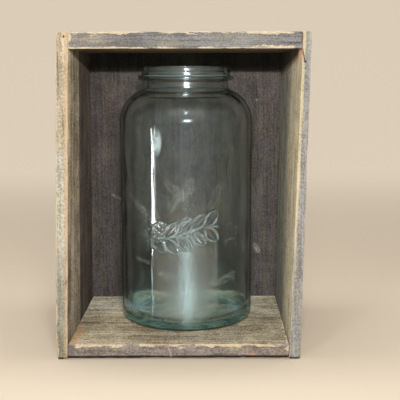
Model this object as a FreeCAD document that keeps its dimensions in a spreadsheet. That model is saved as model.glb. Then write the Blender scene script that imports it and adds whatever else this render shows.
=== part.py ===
import FreeCAD, Part
import math
import os
import Sketcher

# A glass preserving jar that stands in an old wooden box, set on end as a lantern.
# Millimetres, +Z up. The open side of the box faces -Y, and the origin is under the middle of the box.

doc = FreeCAD.newDocument("boxed_jar_lantern")
sheet = doc.addObject("Spreadsheet::Sheet", "sizes")

driving_sizes = {
    # Glass jar, from its foot to its rim
    "jar_body_diameter": 120.6,
    "jar_wall": 4.5,
    "jar_base_thickness": 6.0,
    "jar_base_rise": 2.5,
    "jar_bearing_width": 11.0,
    "jar_heel_radius": 4.8,
    "jar_inner_heel_radius": 10.0,
    "jar_straight_height": 181.0,
    "jar_shoulder_radius": 31.0,
    "jar_neck_diameter": 77.2,
    "jar_neck_wall": 4.6,
    "jar_neck_root_radius": 3.0,
    "jar_neck_height": 2.4,
    "ring_projection": 4.6,
    "ring_slope_height": 4.2,
    "ring_edge_height": 3.0,
    "lip_projection": 0.8,
    "lip_height": 8.6,
    "lip_round": 2.5,
    "mouth_round": 1.2,
    # Room that the box leaves round the jar
    "room_left": 35.1,
    "room_right": 30.6,
    "room_front": 31.3,
    "room_back": 0.8,
    "room_above": 13.1,
    # Boards, and how far the top of the box has leaned over to the right
    "left_side_thickness": 9.9,
    "right_side_thickness": 8.4,
    "top_thickness": 13.4,
    "bottom_thickness": 13.0,
    "back_thickness": 7.0,
    "box_lean": 5.3,
    # Wire nails, and how far the outer nails of a row stay from the ends of the board
    "nail_diameter": 2.2,
    "nail_length": 32.0,
    "nail_point_length": 3.5,
    "nail_head_diameter": 5.2,
    "nail_head_thickness": 1.0,
    "nail_set_depth": 0.3,
    "nail_clearance": 0.05,
    "corner_nail_count": 3,
    "corner_nail_margin": 24.0,
    "back_side_nail_count": 3,
    "back_side_nail_margin": 47.0,
    "back_end_nail_count": 2,
    "back_end_nail_margin": 57.0,
}

derived_sizes = {
    "jar_body_radius": "=jar_body_diameter / 2",
    "jar_neck_radius": "=jar_neck_diameter / 2",
    "jar_root_reach": "=jar_neck_radius + jar_neck_root_radius - jar_body_radius + jar_shoulder_radius",
    "jar_root_rise": "=sqrt((jar_shoulder_radius + jar_neck_root_radius) ^ 2 - jar_root_reach ^ 2)",
    "jar_ring_foot": "=jar_straight_height + jar_root_rise + jar_neck_height",
    "jar_lip_foot": "=jar_ring_foot + ring_slope_height + ring_edge_height",
    "jar_height": "=jar_lip_foot + lip_height",
    "inner_width": "=room_left + jar_body_diameter + room_right",
    "inner_depth": "=room_front + jar_body_diameter + room_back",
    "inner_height": "=jar_height + room_above",
    "box_width": "=left_side_thickness + inner_width + right_side_thickness",
    "box_depth": "=inner_depth + back_thickness",
    "box_height": "=bottom_thickness + inner_height + top_thickness",
    "lean_slope": "=box_lean / box_height",
    "left_foot_x": "=-(box_width + box_lean) / 2",
    "right_foot_x": "=left_foot_x + box_width",
    "front_y": "=-box_depth / 2",
    "back_y": "=box_depth / 2",
    "top_underside_z": "=box_height - top_thickness",
    "top_nail_z": "=box_height - top_thickness / 2",
    "bottom_nail_z": "=bottom_thickness / 2",
    "jar_x": "=-box_width / 2 + left_side_thickness + room_left + jar_body_radius",
    "jar_y": "=front_y + room_front + jar_body_radius",
}

for row, (alias, value) in enumerate({**driving_sizes, **derived_sizes}.items(), start=1):
    sheet.set(f"A{row}", alias)
    sheet.set(f"B{row}", str(value))
    sheet.setAlias(f"B{row}", alias)
doc.recompute()

START, END, CENTRE = range(1, 4)
FLAT_AXIS, UPRIGHT_AXIS = range(-1, -3, -1)
ORIGIN = (FLAT_AXIS, START)


def value(size):
    """The number that an expression on the sheet gives now."""
    return float(sheet.evalExpression(size))


def new_sketch(body, name, plane_role):
    """An empty sketch on one of the body's own origin planes."""
    sketch = body.newObject("Sketcher::SketchObject", name)
    plane = next(feature for feature in body.Origin.OriginFeatures if feature.Role == plane_role)
    sketch.AttachmentSupport = [(plane, "")]
    sketch.MapMode = "FlatFace"
    return sketch


def line(start, end):
    return Part.LineSegment(FreeCAD.Vector(*start, 0), FreeCAD.Vector(*end, 0))


def arc(centre, radius, start_degrees, end_degrees):
    circle = Part.Circle(FreeCAD.Vector(*centre, 0), FreeCAD.Vector(0, 0, 1), radius)
    return Part.ArcOfCircle(circle, math.radians(start_degrees), math.radians(end_degrees))


def relate(sketch, kind, *ends):
    """Adds a relation, such as Horizontal or Tangent, between curves or their ends."""
    sketch.addConstraint(Sketcher.Constraint(kind, *ends))


def measure(sketch, kind, *ends, size):
    """Adds a dimension between two points, or on one curve, and ties it to the sheet."""
    index = sketch.addConstraint(Sketcher.Constraint(kind, *ends, value(size)))
    sketch.setExpression(f"Constraints[{index}]", size)


def polygon(sketch, corners):
    """A closed chain of lines."""
    for start, end in zip(corners, corners[1:] + corners[:1]):
        sketch.addGeometry(line(start, end))
    for index in range(len(corners)):
        relate(sketch, "Coincident", index, END, (index + 1) % len(corners), START)


def place(item, x, y, z, turn="rotation(vector(0; 0; 1); 0)"):
    item.setExpression("Placement", f"placement(vector({x}; {y}; {z}); {turn})")


# Boards of the box

def leaning_board(name, width, height, depth, x, y, z):
    """A board sawn level at its foot and top, with both sides at the lean of the box."""
    body = doc.addObject("PartDesign::Body", name)
    sketch = new_sketch(body, f"{name}_outline", "XZ_Plane")
    lean = f"sizes.lean_slope * ({height})"
    wide, high, over = value(width), value(height), value(lean)
    foot, right, top, left = range(4)
    polygon(sketch, [(0, 0), (wide, 0), (wide + over, high), (over, high)])
    relate(sketch, "Coincident", foot, START, *ORIGIN)
    relate(sketch, "Horizontal", foot)
    relate(sketch, "Horizontal", top)
    relate(sketch, "Parallel", left, right)
    measure(sketch, "DistanceX", foot, START, foot, END, size=width)
    measure(sketch, "DistanceX", right, START, right, END, size=lean)
    measure(sketch, "DistanceY", right, START, right, END, size=height)
    pad = body.newObject("PartDesign::Pad", f"{name}_pad")
    pad.Profile = sketch
    pad.Reversed = True
    pad.setExpression("Length", depth)
    place(body, x, y, z)
    return body


def left_inside(z):
    """Where the inner face of the left side stands at a height."""
    return f"sizes.left_foot_x + sizes.left_side_thickness + sizes.lean_slope * {z}"


blanks = {
    "left_side_board": leaning_board(
        "left_side_blank", "sizes.left_side_thickness", "sizes.box_height", "sizes.inner_depth",
        "sizes.left_foot_x", "sizes.front_y", "0"),
    "right_side_board": leaning_board(
        "right_side_blank", "sizes.right_side_thickness", "sizes.box_height", "sizes.inner_depth",
        "sizes.right_foot_x - sizes.right_side_thickness", "sizes.front_y", "0"),
    "top_board": leaning_board(
        "top_blank", "sizes.inner_width", "sizes.top_thickness", "sizes.inner_depth",
        left_inside("sizes.top_underside_z"), "sizes.front_y", "sizes.top_underside_z"),
    "bottom_board": leaning_board(
        "bottom_blank", "sizes.inner_width", "sizes.bottom_thickness", "sizes.inner_depth",
        left_inside("0"), "sizes.front_y", "0"),
    "back_panel": leaning_board(
        "back_blank", "sizes.box_width", "sizes.box_height", "sizes.back_thickness",
        "sizes.left_foot_x", "sizes.front_y + sizes.inner_depth", "0"),
}


# Nails, and the holes that they fill

def nail_row(name, row, head_back="sizes.nail_set_depth", growth="0"):
    """Like nails in a row, driven along X from a face at X = 0. Growth makes the cutter for their holes."""
    body = doc.addObject("PartDesign::Body", name)
    sketch = new_sketch(body, f"{name}_profile", "XY_Plane")
    head_front = "sizes.nail_set_depth + sizes.nail_head_thickness"
    head_radius = f"sizes.nail_head_diameter / 2 + {growth}"
    shank_radius = f"sizes.nail_diameter / 2 + {growth}"
    shank_end = "sizes.nail_length - sizes.nail_point_length"
    tip = f"sizes.nail_length + {growth}"
    back, rim, seat, shank, point, axis = range(6)
    polygon(sketch, [
        (value(head_back), 0),
        (value(head_back), value(head_radius)),
        (value(head_front), value(head_radius)),
        (value(head_front), value(shank_radius)),
        (value(shank_end), value(shank_radius)),
        (value(tip), 0),
    ])
    relate(sketch, "PointOnObject", back, START, FLAT_AXIS)
    for upright in (back, seat):
        relate(sketch, "Vertical", upright)
    for level in (rim, shank, axis):
        relate(sketch, "Horizontal", level)
    measure(sketch, "DistanceX", *ORIGIN, back, START, size=head_back)
    measure(sketch, "DistanceX", *ORIGIN, seat, START, size=head_front)
    measure(sketch, "DistanceX", *ORIGIN, shank, END, size=shank_end)
    measure(sketch, "DistanceX", *ORIGIN, point, END, size=tip)
    measure(sketch, "DistanceY", *ORIGIN, rim, START, size=head_radius)
    measure(sketch, "DistanceY", *ORIGIN, shank, START, size=shank_radius)
    turned = body.newObject("PartDesign::Revolution", f"{name}_turned")
    turned.Profile = sketch
    turned.ReferenceAxis = (sketch, ["H_Axis"])
    doc.recompute()
    repeated = body.newObject("PartDesign::LinearPattern", f"{name}_repeated")
    repeated.Originals = [turned]
    repeated.Direction = (sketch, ["V_Axis"])
    repeated.Mode = "Spacing"
    repeated.setExpression("Offset", f"({row['span']}) / ({row['count']} - 1)")
    repeated.setExpression("Occurrences", row["count"])
    body.Tip = repeated
    place(body, *row["start"], row["turn"])
    return body


# Turns that point a row's nails into the box from its left, its right and its back
FROM_LEFT = "rotation(vector(0; 1; 0); 0)"
FROM_RIGHT = "rotation(vector(0; 1; 0); 180)"
FROM_BACK = "rotation(vector(0; 0; 1); -90)"


def corner_row(foot_x, z, turn):
    """Nails through a side board into the end of the top or bottom board."""
    return {
        "start": (f"{foot_x} + sizes.lean_slope * {z}", "sizes.front_y + sizes.corner_nail_margin", z),
        "turn": turn,
        "count": "sizes.corner_nail_count",
        "span": "sizes.inner_depth - 2 * sizes.corner_nail_margin",
    }


def back_side_row(middle_x):
    """Nails up the back panel, into the back edge of a side board and along its lean."""
    margin = "sizes.back_side_nail_margin"
    return {
        "start": (f"{middle_x} + sizes.lean_slope * {margin}", "sizes.back_y", margin),
        "turn": f"rotation(vector(0; 1; 0); atan(sizes.lean_slope) - 90 deg) * {FROM_BACK}",
        "count": "sizes.back_side_nail_count",
        "span": f"sizes.box_height - 2 * {margin}",
    }


def back_end_row(z):
    """Nails across the back panel, into the back edge of the top or bottom board."""
    margin = "sizes.back_end_nail_margin"
    return {
        "start": (f"sizes.left_foot_x + sizes.lean_slope * {z} + {margin}", "sizes.back_y", z),
        "turn": FROM_BACK,
        "count": "sizes.back_end_nail_count",
        "span": f"sizes.box_width - 2 * {margin}",
    }


rows = {
    "top_left": corner_row("sizes.left_foot_x", "sizes.top_nail_z", FROM_LEFT),
    "top_right": corner_row("sizes.right_foot_x", "sizes.top_nail_z", FROM_RIGHT),
    "bottom_left": corner_row("sizes.left_foot_x", "sizes.bottom_nail_z", FROM_LEFT),
    "bottom_right": corner_row("sizes.right_foot_x", "sizes.bottom_nail_z", FROM_RIGHT),
    "back_left": back_side_row("sizes.left_foot_x + sizes.left_side_thickness / 2"),
    "back_right": back_side_row("sizes.right_foot_x - sizes.right_side_thickness / 2"),
    "back_top": back_end_row("sizes.top_nail_z"),
    "back_bottom": back_end_row("sizes.bottom_nail_z"),
}
nails = [nail_row(f"{name}_nails", row) for name, row in rows.items()]
cutters = {
    name: nail_row(f"{name}_cutter", row, "-sizes.nail_head_thickness", "sizes.nail_clearance")
    for name, row in rows.items()
}

rows_in_board = {
    "left_side_board": ["top_left", "bottom_left", "back_left"],
    "right_side_board": ["top_right", "bottom_right", "back_right"],
    "top_board": ["top_left", "top_right", "back_top"],
    "bottom_board": ["bottom_left", "bottom_right", "back_bottom"],
    "back_panel": ["back_left", "back_right", "back_top", "back_bottom"],
}
boards = []
for name, row_names in rows_in_board.items():
    drill = doc.addObject("Part::Compound", f"{name}_drill")
    drill.Links = [cutters[row_name] for row_name in row_names]
    board = doc.addObject("Part::Cut", name)
    board.Base = blanks[name]
    board.Tool = drill
    boards.append(board)


# Glass jar, turned from one closed profile of its wall

def jar_profile(sketch):
    """Outline of the glass on one side of the axis: up the outside, over the rim and down the inside."""
    body_radius = value("sizes.jar_body_radius")
    wall = value("sizes.jar_wall")
    base = value("sizes.jar_base_thickness")
    rise = value("sizes.jar_base_rise")
    heel = value("sizes.jar_heel_radius")
    inner_heel = value("sizes.jar_inner_heel_radius")
    straight = value("sizes.jar_straight_height")
    shoulder = value("sizes.jar_shoulder_radius")
    root = value("sizes.jar_neck_root_radius")
    neck_radius = value("sizes.jar_neck_radius")
    neck_wall = value("sizes.jar_neck_wall")
    ring_foot = value("sizes.jar_ring_foot")
    ring_edge = ring_foot + value("sizes.ring_slope_height")
    lip_foot = value("sizes.jar_lip_foot")
    rim_z = value("sizes.jar_height")
    lip_round = value("sizes.lip_round")
    mouth_round = value("sizes.mouth_round")

    bearing = body_radius - heel - value("sizes.jar_bearing_width")
    dome = (bearing ** 2 + rise ** 2) / (2 * rise)
    dome_tilt = math.degrees(math.atan2(dome - rise, bearing))
    root_z = straight + value("sizes.jar_root_rise")
    root_tilt = math.degrees(math.atan2(value("sizes.jar_root_rise"), value("sizes.jar_root_reach")))
    ring_radius = neck_radius + value("sizes.ring_projection")
    lip_radius = neck_radius + value("sizes.lip_projection")
    mouth_radius = neck_radius - neck_wall
    inner_radius = body_radius - wall
    shoulder_centre = (body_radius - shoulder, straight)

    curves = {
        "underside": arc((0, rise - dome), dome, dome_tilt, 90),
        "bearing": line((bearing, 0), (body_radius - heel, 0)),
        "heel": arc((body_radius - heel, heel), heel, -90, 0),
        "side": line((body_radius, heel), (body_radius, straight)),
        "shoulder": arc(shoulder_centre, shoulder, 0, root_tilt),
        "root": arc((neck_radius + root, root_z), root, 180, 180 + root_tilt),
        "neck": line((neck_radius, root_z), (neck_radius, ring_foot)),
        "ring_slope": line((neck_radius, ring_foot), (ring_radius, ring_edge)),
        "ring_edge": line((ring_radius, ring_edge), (ring_radius, lip_foot)),
        "ring_top": line((ring_radius, lip_foot), (lip_radius, lip_foot)),
        "lip": line((lip_radius, lip_foot), (lip_radius, rim_z - lip_round)),
        "lip_round": arc((lip_radius - lip_round, rim_z - lip_round), lip_round, 0, 90),
        "rim": line((lip_radius - lip_round, rim_z), (mouth_radius + mouth_round, rim_z)),
        "mouth_round": arc((mouth_radius + mouth_round, rim_z - mouth_round), mouth_round, 90, 180),
        "mouth": line((mouth_radius, rim_z - mouth_round), (mouth_radius, root_z)),
        "inner_root": arc((neck_radius + root, root_z), root + neck_wall, 180, 180 + root_tilt),
        "inner_shoulder": arc(shoulder_centre, shoulder - wall, 0, root_tilt),
        "inner_side": line((inner_radius, straight), (inner_radius, base + inner_heel)),
        "inner_heel": arc((inner_radius - inner_heel, base + inner_heel), inner_heel, -90, 0),
        "floor": line((inner_radius - inner_heel, base), (0, base)),
        "axis": line((0, base), (0, rise)),
    }
    at = {name: sketch.addGeometry(curve) for name, curve in curves.items()}

    smooth_joins = [
        ("bearing", END, "heel", START),
        ("heel", END, "side", START),
        ("side", END, "shoulder", START),
        ("shoulder", END, "root", END),
        ("root", START, "neck", START),
        ("lip", END, "lip_round", START),
        ("lip_round", END, "rim", START),
        ("rim", END, "mouth_round", START),
        ("mouth_round", END, "mouth", START),
        ("mouth", END, "inner_root", START),
        ("inner_root", END, "inner_shoulder", END),
        ("inner_shoulder", START, "inner_side", START),
        ("inner_side", END, "inner_heel", END),
        ("inner_heel", START, "floor", START),
    ]
    corner_joins = [
        ("underside", START, "bearing", START),
        ("neck", END, "ring_slope", START),
        ("ring_slope", END, "ring_edge", START),
        ("ring_edge", END, "ring_top", START),
        ("ring_top", END, "lip", START),
        ("floor", END, "axis", START),
        ("axis", END, "underside", END),
    ]
    for kind, joins in (("Tangent", smooth_joins), ("Coincident", corner_joins)):
        for first, first_end, second, second_end in joins:
            relate(sketch, kind, at[first], first_end, at[second], second_end)
    relate(sketch, "Coincident", at["inner_shoulder"], CENTRE, at["shoulder"], CENTRE)
    relate(sketch, "PointOnObject", at["bearing"], START, FLAT_AXIS)
    relate(sketch, "PointOnObject", at["underside"], CENTRE, UPRIGHT_AXIS)
    for end in (START, END):
        relate(sketch, "PointOnObject", at["axis"], end, UPRIGHT_AXIS)
    for level in ("bearing", "ring_top", "rim", "floor"):
        relate(sketch, "Horizontal", at[level])
    for upright in ("side", "neck", "ring_edge", "lip", "mouth", "inner_side"):
        relate(sketch, "Vertical", at[upright])

    for name, size in {
        "heel": "sizes.jar_heel_radius",
        "shoulder": "sizes.jar_shoulder_radius",
        "root": "sizes.jar_neck_root_radius",
        "lip_round": "sizes.lip_round",
        "mouth_round": "sizes.mouth_round",
        "inner_root": "sizes.jar_neck_root_radius + sizes.jar_neck_wall",
        "inner_heel": "sizes.jar_inner_heel_radius",
    }.items():
        measure(sketch, "Radius", at[name], size=size)
    across = [
        (ORIGIN, (at["side"], START), "sizes.jar_body_radius"),
        ((at["bearing"], START), (at["bearing"], END), "sizes.jar_bearing_width"),
        (ORIGIN, (at["neck"], START), "sizes.jar_neck_radius"),
        ((at["neck"], END), (at["ring_edge"], START), "sizes.ring_projection"),
        ((at["neck"], END), (at["lip"], START), "sizes.lip_projection"),
        ((at["mouth"], END), (at["neck"], START), "sizes.jar_neck_wall"),
        ((at["inner_side"], START), (at["side"], END), "sizes.jar_wall"),
    ]
    upward = [
        (ORIGIN, (at["axis"], END), "sizes.jar_base_rise"),
        (ORIGIN, (at["axis"], START), "sizes.jar_base_thickness"),
        (ORIGIN, (at["side"], END), "sizes.jar_straight_height"),
        (ORIGIN, (at["neck"], END), "sizes.jar_ring_foot"),
        ((at["ring_slope"], START), (at["ring_slope"], END), "sizes.ring_slope_height"),
        ((at["ring_edge"], START), (at["ring_edge"], END), "sizes.ring_edge_height"),
        ((at["lip"], START), (at["rim"], START), "sizes.lip_height"),
    ]
    for kind, lengths in (("DistanceX", across), ("DistanceY", upward)):
        for start, end, size in lengths:
            measure(sketch, kind, *start, *end, size=size)


jar = doc.addObject("PartDesign::Body", "glass_jar")
jar_sketch = new_sketch(jar, "glass_jar_profile", "XZ_Plane")
jar_profile(jar_sketch)
jar_turned = jar.newObject("PartDesign::Revolution", "glass_jar_turned")
jar_turned.Profile = jar_sketch
jar_turned.ReferenceAxis = (jar_sketch, ["V_Axis"])
place(jar, "sizes.jar_x", "sizes.jar_y", "sizes.bottom_thickness")

# Checks, then one file for each piece
doc.recompute()
pieces = boards + nails + [jar]
for item in doc.Objects:
    if "Invalid" in item.State or "Error" in item.State:
        raise RuntimeError(f"{item.Label} failed to build")
for piece in pieces:
    if piece.Shape.isNull() or not piece.Shape.isValid():
        raise RuntimeError(f"{piece.Label} has no sound shape")
for board in boards:
    if board.Shape.Volume >= board.Base.Shape.Volume:
        raise RuntimeError(f"{board.Label} has no nail holes")

os.makedirs("parts", exist_ok=True)
for piece in pieces:
    piece.Shape.exportStep(f"parts/{piece.Label}.step")
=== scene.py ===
import math

import bpy
import numpy as np
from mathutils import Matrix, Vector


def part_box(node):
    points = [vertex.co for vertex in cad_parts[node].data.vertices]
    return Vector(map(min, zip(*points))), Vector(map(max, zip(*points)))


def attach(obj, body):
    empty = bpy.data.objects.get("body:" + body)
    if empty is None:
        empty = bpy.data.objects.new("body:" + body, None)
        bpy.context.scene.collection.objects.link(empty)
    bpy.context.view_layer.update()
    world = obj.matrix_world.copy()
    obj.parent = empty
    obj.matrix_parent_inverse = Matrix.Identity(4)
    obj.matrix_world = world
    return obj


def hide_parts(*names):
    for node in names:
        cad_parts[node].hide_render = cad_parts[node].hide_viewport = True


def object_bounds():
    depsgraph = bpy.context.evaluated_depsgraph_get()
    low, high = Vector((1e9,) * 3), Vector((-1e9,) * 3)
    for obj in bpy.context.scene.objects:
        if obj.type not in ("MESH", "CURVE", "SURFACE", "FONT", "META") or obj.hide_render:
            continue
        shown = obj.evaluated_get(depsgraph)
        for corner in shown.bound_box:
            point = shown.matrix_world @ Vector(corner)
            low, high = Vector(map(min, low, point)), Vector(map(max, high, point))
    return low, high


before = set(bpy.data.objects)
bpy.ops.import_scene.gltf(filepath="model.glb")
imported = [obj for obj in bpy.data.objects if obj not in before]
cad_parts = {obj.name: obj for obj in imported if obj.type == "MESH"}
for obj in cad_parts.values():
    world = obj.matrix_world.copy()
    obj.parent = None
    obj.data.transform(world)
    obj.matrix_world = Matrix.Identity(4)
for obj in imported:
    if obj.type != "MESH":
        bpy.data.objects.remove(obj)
cad_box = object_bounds()

# Left side board
# An old softwood board on end, grey where light and weather reached it and dark in its rear half.
# It runs the full height of the box, and the top and bottom boards butt against its inner face.

MM = 0.001
RIGHT, BACK, UP = range(3)


def node_box(node):
    """A CAD node's lowest and highest corners at rest, in millimetres."""
    low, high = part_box(node)
    return np.array(low) / MM, np.array(high) / MM


box_low, box_high = np.array(cad_box[0]) / MM, np.array(cad_box[1]) / MM
box_height = box_high[2] - box_low[2]
cad_lean = 5.3
front_lean = 7.4
back_lean = 2.6


def racked(points):
    """The points, leaned to the right in proportion to their height above mid-height.

    The lean falls in a straight line from the front of the box to its back: the twist of the old box.
    """
    share = (points[:, 1] - box_low[1]) / (box_high[1] - box_low[1])
    lean = front_lean + (back_lean - front_lean) * share
    moved = points.copy()
    moved[:, 0] += lean * (points[:, 2] / box_height - 0.5)
    return moved


def upright_box(node):
    """A board's box with the lean of the CAD model taken out, so that racked can lean it again."""
    low, high = node_box(node)
    lean = cad_lean * (high[2] - low[2]) / box_height
    middle = cad_lean * ((low[2] + high[2]) / 2 / box_height - 0.5)
    low[0] += lean / 2 - middle
    high[0] -= lean / 2 + middle
    return low, high


def ripple(along, seed, shortest, longest, waves=7):
    """A smooth uneven line of about -1 to 1: a sum of sines, of lengths between two, at drawn phases."""
    phases = np.random.default_rng(seed).uniform(0, 2 * np.pi, waves)
    lengths = np.geomspace(shortest, longest, waves)
    return sum(np.sin(2 * np.pi * along / a + b) for a, b in zip(lengths, phases)) / math.sqrt(waves)


def eased(values):
    """0 below 0, 1 above 1 and a smooth S between."""
    held = np.clip(values, 0, 1)
    return held * held * (3 - 2 * held)


def stations(low, high, step):
    """Places along one side of a board: even steps, and closer ones beside both arrises, to round them."""
    beside = np.array([0, 0.3, 0.7, 1.3, 2.1, 3.2])
    count = max(1, round((high - low - 2 * beside[-1]) / step))
    between = np.linspace(low + beside[-1], high - beside[-1], count + 1)
    return np.concatenate([low + beside[:-1], between, (high - beside[:-1])[::-1]])


def box_skin(sides):
    """Points and quads of a closed box over three rows of stations.

    On each of the six sides one station number is held at its end while the other two run over a grid.
    A point on an arris has the same three numbers from both sides, so it is kept once and the skin is closed.
    """
    counts = [len(side) for side in sides]
    numbers, quads, first = [], [], 0
    for axis in range(3):
        across, up = (axis + 1) % 3, (axis + 2) % 3
        for end in (0, counts[axis] - 1):
            i, j = np.meshgrid(np.arange(counts[across]), np.arange(counts[up]), indexing="ij")
            triple = np.empty(i.shape + (3,), int)
            triple[..., axis], triple[..., across], triple[..., up] = end, i, j
            order = first + np.arange(i.size).reshape(i.shape)
            loops = np.stack([order[:-1, :-1], order[1:, :-1], order[1:, 1:], order[:-1, 1:]], -1)
            loops = loops.reshape(-1, 4)
            quads.append(loops if end else loops[:, ::-1])
            numbers.append(triple.reshape(-1, 3))
            first += i.size
    keys = np.ravel_multi_index(np.concatenate(numbers).T, counts)
    kept, place = np.unique(keys, return_inverse=True)
    triples = np.unravel_index(kept, counts)
    points = np.stack([side[triples[axis]] for axis, side in enumerate(sides)], -1)
    return points, place[np.concatenate(quads)]


def new_piece(name, points, quads, triangles=None):
    """A smooth mesh object at the origin, from points in millimetres and rows of corner numbers."""
    triangles = np.empty((0, 3), int) if triangles is None else triangles
    corners = np.concatenate([quads.ravel(), triangles.ravel()]).astype(np.int32)
    sizes = np.concatenate([np.full(len(quads), 4), np.full(len(triangles), 3)]).astype(np.int32)
    mesh = bpy.data.meshes.new(name)
    mesh.vertices.add(len(points))
    mesh.vertices.foreach_set("co", (points * MM).astype(np.float32).ravel())
    mesh.loops.add(len(corners))
    mesh.loops.foreach_set("vertex_index", corners)
    mesh.polygons.add(len(sizes))
    mesh.polygons.foreach_set("loop_start", (np.cumsum(sizes) - sizes).astype(np.int32))
    mesh.polygons.foreach_set("use_smooth", np.ones(len(sizes), bool))
    mesh.update(calc_edges=True)
    mesh.validate()
    piece = bpy.data.objects.new(name, mesh)
    bpy.context.scene.collection.objects.link(piece)
    return piece


def fit(piece, finish, node, body):
    """Gives a piece its finish and puts it in place of a CAD node, on that node's body."""
    piece.data.materials.append(finish)
    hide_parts(node)
    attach(piece, body)


def add_field(piece, name, values):
    """Keeps one number for each point of a piece, for its material to read."""
    field = piece.data.attributes.new(name, "FLOAT", "POINT")
    field.data.foreach_set("value", values.astype(np.float32))


least_rounding, widest_rounding, chip_start = 0.3, 0.42, 0.9
nail_dip_depth, nail_dip_radius, nail_dip_slope = 0.55, 4.4, 2.0
rust_radius, rust_run = 4.2, 0.35


def worn_board(name, low, high, along, seed, steps, arris=0.9, chip=1.6, furrow=0.16, nails=(), worn=None):
    """A sawn board whose arrises are rounded and chipped and whose faces are furrowed along the grain.

    Each point of the box is drawn in to a core that is smaller by the local radius, and pushed back out by
    that radius, which rounds the arris. The radius swells where a ripple along the board peaks, as a chip.
    The furrows are ripples across the grain that wander slowly along it. Round each nail the face dips, and
    rust fades out from it, further along the grain than across.
    """
    points, quads = box_skin([stations(low[a], high[a], steps[a]) for a in range(3)])
    gaps = np.sort(np.minimum(points - low, high - points), axis=1)
    length = points[:, along]
    around = points.sum(axis=1) - length
    bites = ripple(length + 0.37 * around, seed, 5, 60)
    radius = arris * (1 + 0.45 * ripple(length + 5 * around, seed + 1, 9, 90))
    radius += chip * np.clip(bites - chip_start, 0, None)
    radius = np.clip(radius, least_rounding, (high - low).min() * widest_rounding)[:, None]
    core = np.clip(points, low + radius, high - radius)
    outward = points - core
    outward /= np.linalg.norm(outward, axis=1, keepdims=True)
    wander = 1.4 * ripple(length, seed + 2, 40, 220)
    grooves = ripple(around + wander, seed + 3, 1.9, 8) - 0.5
    depth = furrow * np.clip(grooves, -1.4, 1.4) - furrow * 0.9
    skin = core + outward * (radius + depth[:, None])
    rust = np.zeros(len(points))
    for spot, axis in nails:
        near = np.abs(points[:, axis] - spot[axis]) < 0.01
        reach = points - spot
        reach[:, axis] = 0
        flat = np.linalg.norm(reach, axis=1)
        dip = nail_dip_depth * eased((nail_dip_radius - flat) / nail_dip_slope)
        skin[:, axis] -= np.where(near, dip, 0) * np.sign(outward[:, axis])
        reach[:, along] *= rust_run
        bled = np.exp(-(np.linalg.norm(reach, axis=1) / rust_radius) ** 2)
        rust = np.maximum(rust, np.where(near, bled, 0))
    skin = skin if worn is None else worn(skin)
    piece = new_piece(name, racked(skin), quads)
    add_field(piece, "arris_gap", gaps[:, 1])
    add_field(piece, "nail_rust", rust)
    return piece


class Wire:
    """One output of a shader node. Sums and products of wires add Math nodes, and make adds the others."""

    tree = None

    def __init__(self, socket):
        self.socket = socket

    @classmethod
    def make(cls, kind, settings, sockets, out=0):
        """A new node's output. Its settings are set first, then its sockets get a number or a wire each."""
        node = cls.tree.nodes.new("ShaderNode" + kind)
        for key, setting in settings.items():
            if key == "stops":
                ramp = node.color_ramp.elements
                ramp.remove(ramp[1])
                ramp[0].position, ramp[0].color = setting[0]
                for place, colour in setting[1:]:
                    ramp.new(place).color = colour
            else:
                setattr(node, key, setting)
        for key, given in sockets.items():
            if isinstance(given, Wire):
                cls.tree.links.new(given.socket, node.inputs[key])
            else:
                node.inputs[key].default_value = given
        return cls(node.outputs[out])

    def maths(self, operation, first, second):
        """One Math node on two values."""
        return Wire.make("Math", {"operation": operation}, {0: first, 1: second})

    def __add__(self, other):
        return self.maths("ADD", self, other)

    def __sub__(self, other):
        return self.maths("SUBTRACT", self, other)

    def __rsub__(self, other):
        return self.maths("SUBTRACT", other, self)

    def __mul__(self, other):
        return self.maths("MULTIPLY", self, other)

    def __pow__(self, other):
        return self.maths("POWER", self, other)

    def most(self, other):
        """The greater of two values."""
        return self.maths("MAXIMUM", self, other)

    __radd__ = __add__
    __rmul__ = __mul__

    def between(self, low, high):
        """A smooth S from 0 at low to 1 at high, or falling where high is the lower one."""
        ends = {"Value": self, "From Min": low, "From Max": high}
        return Wire.make("MapRange", {"interpolation_type": "SMOOTHSTEP"}, ends)


def new_finish(name):
    """An empty node material, which the wires made next go into."""
    finish = bpy.data.materials.new(name)
    finish.use_nodes = True
    finish.node_tree.nodes.clear()
    Wire.tree = finish.node_tree
    return finish


def close_finish(surface, volume=None):
    """Puts the shader, and a filling where there is one, on the material's output."""
    ends = {"Surface": surface} if volume is None else {"Surface": surface, "Volume": volume}
    node = Wire.tree.nodes.new("ShaderNodeOutputMaterial")
    for key, shader in ends.items():
        Wire.tree.links.new(shader.socket, node.inputs[key])


def paint(red, green, blue):
    """A colour as it is seen, from 0 to 255, in the linear numbers that a shader takes."""
    seen = np.array([red, green, blue]) / 255
    linear = np.where(seen <= 0.04045, seen / 12.92, ((seen + 0.055) / 1.055) ** 2.4)
    return (*linear.tolist(), 1.0)


def blend(share, first, second, mode="MIX"):
    """The first colour, turned towards the second by a share from 0 to 1."""
    settings = {"data_type": "RGBA", "blend_type": mode}
    return Wire.make("Mix", settings, {0: share, 6: first, 7: second}, out=2)


def noise(place, stretch, detail=4.0, roughness=0.55, distortion=0.0):
    """Cloudy noise of 0 to 1 over a place in millimetres, with so many clouds to a millimetre each way."""
    each_way = stretch if np.ndim(stretch) else (stretch,) * 3
    scaled = Wire.make("VectorMath", {"operation": "MULTIPLY"}, {0: place, 1: each_way})
    sockets = {"Vector": scaled, "Scale": 1.0, "Detail": detail, "Roughness": roughness}
    return Wire.make("TexNoise", {}, {**sockets, "Distortion": distortion})


def place_in_millimetres():
    """The point on the piece in millimetres, whole and as its three parts."""
    metres = Wire.make("TexCoord", {}, {}, out="Object")
    place = Wire.make("VectorMath", {"operation": "SCALE"}, {0: metres, "Scale": 1 / MM})
    parts = [Wire.make("SeparateXYZ", {}, {0: place}, out=axis) for axis in "XYZ"]
    return place, *parts


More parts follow.
